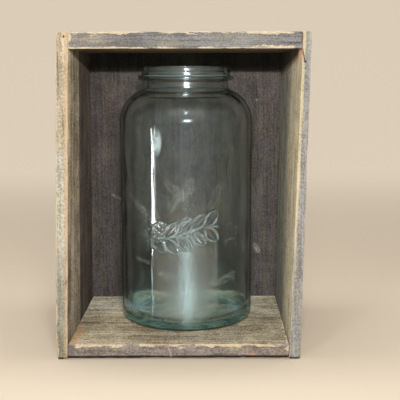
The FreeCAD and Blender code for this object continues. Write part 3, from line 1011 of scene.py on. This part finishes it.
def sprig(arc, height):
    """A raised sprig, from 0 to 1: leaves in pairs along a stem that rises in a slow wave.

    Arc is the distance round the jar from its front, and height is above the middle of the sprig. A leaf has
    a middle rib and two edges, whose distance from the rib swells and closes as half a sine along it.
    """
    ridge_width, leaf_length, leaf_half_width, leaf_angle = 0.95, 19.0, 4.6, math.radians(48)
    stem_slope, stem_wave, stem_reach = 0.16, 2.2, 30.0

    def stem_height(at):
        """A straight rise and a sine."""
        return stem_slope * at + stem_wave * np.sin(at / 9.0)

    def ridge(distance, inside):
        """A bell curve over the distance from a line."""
        return np.exp(-(distance / ridge_width) ** 2) * inside

    raised = ridge(height - stem_height(arc), eased((stem_reach - np.abs(arc)) / 3 + 0.5))
    for at in np.linspace(-stem_reach, stem_reach * 0.55, 5):
        for turn in (leaf_angle, -leaf_angle):
            across, up = arc - at, height - stem_height(at)
            share = (across * math.cos(turn) + up * math.sin(turn)) / leaf_length
            off = up * math.cos(turn) - across * math.sin(turn)
            inside = eased(share * 9) * eased((1 - share) * 9)
            edge = np.abs(off) - leaf_half_width * np.sin(np.pi * np.clip(share, 0, 1))
            raised = np.maximum(raised, np.maximum(ridge(edge, inside), 0.6 * ridge(off, inside)))
    return raised


def base_ripple(x, y, seed, depth):
    """The chilled, uneven base: sines across it in drawn directions, still at its middle."""
    draw = np.random.default_rng(seed)
    total = 0
    for length in (31, 22, 16, 12, 9):
        heading, phase = draw.uniform(0, 2 * np.pi, 2)
        along = x * np.cos(heading) + y * np.sin(heading)
        total = total + np.sin(2 * np.pi * along / length + phase) * length
    return depth * total / 60 * eased(np.hypot(x, y) / 8)


def turned_glass():
    """The jar as one closed skin: its outline turned about the axis, with poles under it and inside it.

    Waves in the outer and inner skin make the wall uneven, the mould's two seams stand out as low ridges, and
    a sprig stands out on the front, where the steps of the turn are finer.
    """
    outside, inside, poles = jar_outline()
    outline = np.concatenate([outside, inside])
    front_turn, fine_step, coarse_count = 0.76, 0.0108, 92
    fine = np.arange(-front_turn, front_turn, fine_step)
    coarse = np.linspace(front_turn, 2 * np.pi - front_turn, coarse_count, endpoint=False)
    turn = np.concatenate([fine, coarse])
    radius, height = outline[:, :1], outline[:, 1:]
    is_outside = (np.arange(len(outline)) < len(outside))[:, None]
    body = eased((straight_height + 26 - height) / 30) * eased((radius - 20) / 30) * eased(height / 16)
    outer_wave = glass_wave(turn, height, seed=5, depth=0.11)
    inner_wave = glass_wave(turn, height, seed=9, depth=0.035)
    wave = np.where(is_outside, outer_wave, inner_wave) * body
    seam_angle = np.angle(np.exp(2j * (turn - seam_turn))) / 2
    seam = np.exp(-(seam_angle * body_radius / seam_width) ** 2) * np.where(is_outside, body, 0)
    seam = seam * (0.05 + 0.95 * eased((relief_low + 10 - height) / 14))
    arc = np.angle(np.exp(1j * turn)) * body_radius
    on_body = is_outside & (height > relief_low) & (height < relief_high)
    pattern = sprig(arc, height - sprig_height) * on_body
    turned = radius + wave + seam_rise * seam + sprig_rise * pattern
    x, y = turned * np.sin(turn), -turned * np.cos(turn)
    in_base = eased((body_radius - 10 - radius) / 12) * (height < 40)
    under_ripple, inner_ripple = base_ripple(x, y, seed=3, depth=0.4), base_ripple(x, y, seed=8, depth=0.6)
    lift = np.where(is_outside, under_ripple, inner_ripple) * in_base
    lift = np.where(is_outside, np.clip(lift, -height, None), lift)
    grid = np.stack([x, y, height + lift], -1)
    ends = np.array([[0, 0, poles[0]], [0, 0, poles[1]]])
    foot_middle = [jar_middle[0], jar_middle[1], jar_foot]
    points = np.concatenate([grid.reshape(-1, 3), ends]) + foot_middle
    is_inside = np.concatenate([np.broadcast_to(~is_outside, turned.shape).ravel(), [False, True]])
    raised = np.concatenate([np.maximum(pattern, seam).ravel(), [0, 0]])
    return (points, *tube_faces(*turned.shape)), {"inside": is_inside, "raised": raised}


def ray_kind(kind):
    """1 for rays of one kind, and 0 for the rest."""
    return Wire.make("LightPath", {}, {}, out=f"Is {kind} Ray")


def aqua_glass():
    """Old soda glass: clear, tinted aqua by its depth, and hidden by films, each a share of 0 to 1.

    Chalk lies inside, thickest in the base, with lime and dust outside, and films also stand in as painted
    light:
    a glow up the middle, glints, sparkles and pale lines on the ring, the rear edge and the raised parts. A
    dark film is painted where the glass is seen edge on, and a painted shadow lies round the foot of the
    heel. Rays that light the timber pass straight where they meet the glass squarely, so that the box behind
    it is lit.
    """
    finish = new_finish("aqua_jar_glass")
    place, x, y, z = place_in_millimetres()
    up = z - jar_foot
    off_axis = (x - jar_middle[0]) ** 2 + (y - jar_middle[1]) ** 2
    inside = field("inside")
    ring_line, neck_line = jar_height - 8.6, jar_height - 22
    wisps = noise(place, (0.035, 0.035, 0.02), detail=7, roughness=0.7, distortion=1.6)
    mottle = noise(place, 0.07, detail=4, roughness=0.6, distortion=0.6)
    speckle = noise(place, 0.55, detail=4, roughness=0.7)
    grains = noise(place, 0.85, detail=2)
    ripples = noise(place, (0.09, 0.09, 0.05), detail=2)
    drawn = noise(place, (0.02, 0.02, 0.35), detail=3)
    low_down = up.between(16, 6)
    # Painted highlight: a soft glow on the inside film up the middle of the front, standing in for the lamps'
    # reflection there.
    painted_glow_spread = reach_from(x, y, z, (5, -44, 47), (18, 30, 40))
    painted_glow = Wire.make("Math", {"operation": "EXPONENT"}, {0: painted_glow_spread * -1})

    height = ripples * (0.25 + 1.2 * low_down) + drawn * 0.12 + speckle * painted_glow * 0.9
    bump = Wire.make("Bump", {}, {"Strength": 0.4, "Distance": 0.8 * MM, "Height": height})
    coat = 0.25 + 0.75 * up.between(neck_line, neck_line + 4)
    sockets = {"Base Color": (1, 1, 1, 1), "Roughness": wisps.between(0.5, 0.8) * 0.04, "IOR": 1.52,
               "Transmission Weight": 1.0, "Normal": bump, "Coat Weight": coat, "Coat Roughness": 0.16}
    clear = Wire.make("BsdfPrincipled", {}, sockets)

    swayed_x = x + (wisps - 0.5) * 9
    # Painted highlights: small white sparkles on the inside film around the middle of the front.
    painted_sparkles = spot_at(swayed_x, y, z, (4, -44, 60), (12, 17, 48)) * grains.between(0.59, 0.67)
    # Painted highlight: a pale arc along the rear edge of the inner floor.
    painted_rear_arc = off_axis.between(46.5 ** 2, 48.5 ** 2) * off_axis.between(51.5 ** 2, 49.5 ** 2)
    painted_rear_arc = painted_rear_arc * y.between(20, 36) * up.between(20, 14)
    # Painted highlights: white glints in the film low on the left and right of the base.
    painted_glint_left = spot_at(x, y, z, (-45, 4, jar_foot + 10), (18, 46, 12))
    painted_glint_right = spot_at(x, y, z, (46, 4, jar_foot + 10), (11, 40, 9)) * 0.5
    painted_glints = painted_glint_left.most(painted_glint_right) * speckle.between(0.26, 0.62)
    aside = x.between(jar_middle[0] - 14, jar_middle[0] - 40)
    # Chalk settled in the base, thicker to the left, laid on also as painted light in the thick base.
    settled_chalk_and_light = (mottle * 0.8 + speckle * 0.2).between(0.40, 0.62) * low_down
    inside_film = wisps.between(0.5, 0.72) * 0.025 + settled_chalk_and_light * (0.22 + 0.4 * aside)
    inside_film = inside_film + painted_glow * (0.09 + 0.24 * speckle) + painted_sparkles * 0.5
    inside_film = inside_film + painted_rear_arc * 0.35 + painted_glints

    stain = spot_at(x, y, z, (-21.7, -43.2, 179.7), (6, 8, 14)) * mottle.between(0.38, 0.55)
    # Painted highlights: white sparkles on the outside at the left end of the sprig.
    painted_foil_sparkle = spot_at(x, y, z, (-25, -42, 103), (15, 22, 25)) * grains.between(0.60, 0.66)
    on_sprig = up.between(relief_low + 4, relief_low + 12)
    # Lime along the raised sprig and seam, laid on also as their painted highlight.
    lime_and_highlight = field("raised").between(0.35, 0.95) * (0.35 + 0.65 * mottle.between(0.34, 0.62))
    lime_and_highlight = lime_and_highlight * (0.6 - 0.18 * on_sprig)
    # Films under the base and round the heel, laid on also as painted light there.
    under_film_and_light = up.between(3.2, 2.6) * mottle.between(0.40, 0.62) * 0.2
    heel_film_and_light = up.between(10, 4) * mottle.between(0.36, 0.6) * 0.18
    # Painted highlight: a pale line along the ring's top edge.
    painted_ring_highlight = up.between(ring_line - 0.6, ring_line) * up.between(ring_line + 0.9, ring_line + 0.4)
    outside_film = stain * 0.6 + lime_and_highlight + painted_foil_sparkle * 0.75 + under_film_and_light + heel_film_and_light + painted_ring_highlight * 0.34

    edge_on = Wire.make("LayerWeight", {}, {"Blend": 0.5}, out="Facing")
    # Painted shade: a dark film where the glass is seen edge on, and a dark line round the foot of the heel
    # as its shadow.
    outline = edge_on.between(0.70, 0.86) * up.between(4, 16) * 0.74
    heel = off_axis.between(50 ** 2, 54 ** 2) * up.between(14, 6)
    painted_heel_shadow = heel * up.between(4, 1.5) * 0.38
    painted_dark_rim = outline.most(painted_heel_shadow) * (1 - inside)
    film_share = (inside_film * inside + outside_film * (1 - inside)).most(painted_dark_rim)

    # The film is whiter on the stain and on the painted highlights.
    whiter_on_stain_and_highlights = painted_glow.most(painted_sparkles).most(painted_foil_sparkle).most(stain).most(lime_and_highlight).most(painted_rear_arc).most(painted_glints)
    chalk = blend(whiter_on_stain_and_highlights, paint(186, 220, 220), paint(208, 233, 240))
    chalk = blend(heel, chalk, paint(178, 188, 144))
    chalk = blend(painted_dark_rim.between(0.0, 0.25), chalk, paint(40, 51, 30))
    film = Wire.make("BsdfPrincipled", {}, {"Base Color": chalk, "Roughness": 0.9})
    filmed = Wire.make("MixShader", {}, {0: film_share, 1: clear, 2: film})
    open_way = Wire.make("BsdfTransparent", {}, {"Color": (0.93, 0.97, 0.95, 1)})
    for_lamps = ray_kind("Shadow").most(ray_kind("Diffuse")) * edge_on.between(0.92, 0.55)
    surface = Wire.make("MixShader", {}, {0: for_lamps, 1: filmed, 2: open_way})
    depth = Wire.make("VolumeAbsorption", {}, {"Color": (0.33, 0.74, 0.68, 1), "Density": 10.5})
    close_finish(surface, depth)
    return finish


jar_skin, jar_fields = turned_glass()
jar = new_piece("preserving_jar", *jar_skin)
for field_name, jar_field in jar_fields.items():
    add_field(jar, field_name, jar_field)
fit(jar, aqua_glass(), "glass_jar", "jar")

# Floor and room
# A plain pale floor that sweeps up into a plain backdrop well behind the box, in a pale room.
# The room is dim in front, behind the camera, and its soft light comes from above and from behind the box.

pale = paint(233, 218, 197)
sweep_start, sweep_radius, sweep_height = 1300.0, 900.0, 2600.0
floor_front, floor_half = -4000.0, 4000.0
fade_near, fade_far = -200.0, -750.0


def sweep():
    """A flat floor that bends up through a quarter circle into a wall, the same from left to right."""
    turn = np.linspace(-np.pi / 2, 0, 25)
    curve = np.column_stack([sweep_start + sweep_radius * np.cos(turn), sweep_radius * (1 + np.sin(turn))])
    side = np.concatenate([[[floor_front, 0]], curve, [[sweep_start + sweep_radius, sweep_height]]])
    left, right = (np.column_stack([np.full(len(side), end * floor_half), side]) for end in (-1, 1))
    number = np.arange(len(side))
    quads = np.stack([number[:-1], number[:-1] + len(side), number[1:] + len(side), number[1:]], -1)
    return np.concatenate([left, right]), quads


ground = new_piece("ground", *sweep())
ground_finish = new_finish("pale_ground")
_, _, ground_y, _ = place_in_millimetres()
far_in_front = 0.85 * ground_y.between(fade_near, fade_far)
on_sweep = 0.8 * ground_y.between(150, sweep_start)
lit = Wire.make("BsdfDiffuse", {}, {"Color": pale})
shown = Wire.make("Emission", {}, {"Color": pale, "Strength": 1.0})
dimmed = Wire.make("Emission", {}, {"Color": paint(196, 198, 228), "Strength": 0.17})
floor_look = Wire.make("MixShader", {}, {0: ray_kind("Camera") * on_sweep, 1: lit, 2: shown})
close_finish(Wire.make("MixShader", {}, {0: ray_kind("Glossy") * far_in_front, 1: floor_look, 2: dimmed}))
ground.data.materials.append(ground_finish)

room = bpy.data.worlds.new("pale_room")
room.use_nodes = True
room.node_tree.nodes.clear()
bpy.context.scene.world = room
Wire.tree = room.node_tree
way = Wire.make("TexCoord", {}, {}, out="Generated")
behind = Wire.make("SeparateXYZ", {}, {0: way}, out="Y").between(-0.1, 0.5)
rise = Wire.make("SeparateXYZ", {}, {0: way}, out="Z")
soft = behind.most(rise.between(0.6, 0.95))
fill = Wire.make("Background", {}, {"Color": (1.0, 0.97, 0.93, 1), "Strength": 0.05 + 0.5 * soft})
mirrored_light = 0.16 + 0.3 * rise.between(0.02, 0.2) + 0.5 * behind
mirrored = Wire.make("Background", {}, {"Color": paint(196, 212, 222), "Strength": mirrored_light})
backdrop = Wire.make("Background", {}, {"Color": pale, "Strength": 0.85})
in_gloss = ray_kind("Glossy").most(ray_kind("Transmission"))
sky = Wire.make("MixShader", {}, {0: in_gloss, 1: fill, 2: mirrored})
sky = Wire.make("MixShader", {}, {0: ray_kind("Camera"), 1: sky, 2: backdrop})
world_end = room.node_tree.nodes.new("ShaderNodeOutputWorld")
room.node_tree.links.new(sky.socket, world_end.inputs["Surface"])

# Lamps
# A small wide key lamp just above the camera, with a twin for its gleam alone, a weaker one to its left and
# a soft strip overhead. Two strips on the floor in front gleam up the middle of the jar, and the jar mirrors
# a narrow upright strip low on the left as a bright line.


def add_lamp(name, place, target, size, power, colour, matt=True, gloss=True):
    """A rectangular lamp in metres and watts at a place in millimetres, facing another place."""
    data = bpy.data.lights.new(name, "AREA")
    data.shape = "RECTANGLE"
    data.size, data.size_y = size
    data.energy = power
    data.color = colour
    lamp = bpy.data.objects.new(name, data)
    lamp.location = np.array(place) * MM
    aim = np.array(target, float) - np.array(place, float)
    flat = math.hypot(aim[0], aim[1])
    lamp.rotation_euler = (math.atan2(flat, -aim[2]), 0, math.atan2(-aim[0], aim[1]))
    lamp.visible_camera = False
    lamp.visible_diffuse = matt
    lamp.visible_glossy = gloss
    lamp.visible_transmission = gloss
    bpy.context.scene.collection.objects.link(lamp)


white, pale_blue = (1.0, 0.98, 0.95), (0.74, 0.94, 1.0)
key_place, key_target, key_size = (46, -742, 338), (0, 0, 130), (0.14, 0.010)
add_lamp("key_lamp", key_place, key_target, key_size, 3.6, white, gloss=False)
add_lamp("key_gleam", key_place, key_target, (0.11, 0.010), 3.3, (0.84, 0.93, 1.0), matt=False)
add_lamp("side_lamp", (-300, -742, 338), key_target, key_size, 1.3, white, gloss=False)
add_lamp("overhead_strip", (0, 0, 1500), (0, 1, 0), (1.6, 0.4), 10.0, white)
add_lamp("floor_strip", (8, -275, 4), (8, -274, 300), (0.022, 0.27), 0.12, pale_blue, matt=False)
add_lamp("floor_sheet", (10, -275, 3), (10, -274, 300), (0.075, 0.27), 0.12, pale_blue, matt=False)
add_lamp("left_strip", (-404, -264, 86), (-26, -41, 130), (0.034, 0.172), 0.69, (0.95, 0.98, 1.0), matt=False)

# Camera
# In front of the open side and a little to the right, looking slightly down.

camera_place = 14.72, -742.39, 237.88
pitch_down, yaw_right, roll = math.radians(8.79), math.radians(0.09), math.radians(0.11)
camera_data = bpy.data.cameras.new("photo_camera")
camera_data.sensor_width = 36.0
camera_data.lens = 73.97
camera = bpy.data.objects.new("photo_camera", camera_data)
bpy.context.scene.collection.objects.link(camera)
camera.location = np.array(camera_place) * MM
camera.rotation_mode = "XYZ"
camera.rotation_euler = (math.pi / 2 - pitch_down, roll, -yaw_right)
bpy.context.scene.camera = camera
bpy.context.scene.view_settings.view_transform = "Standard"
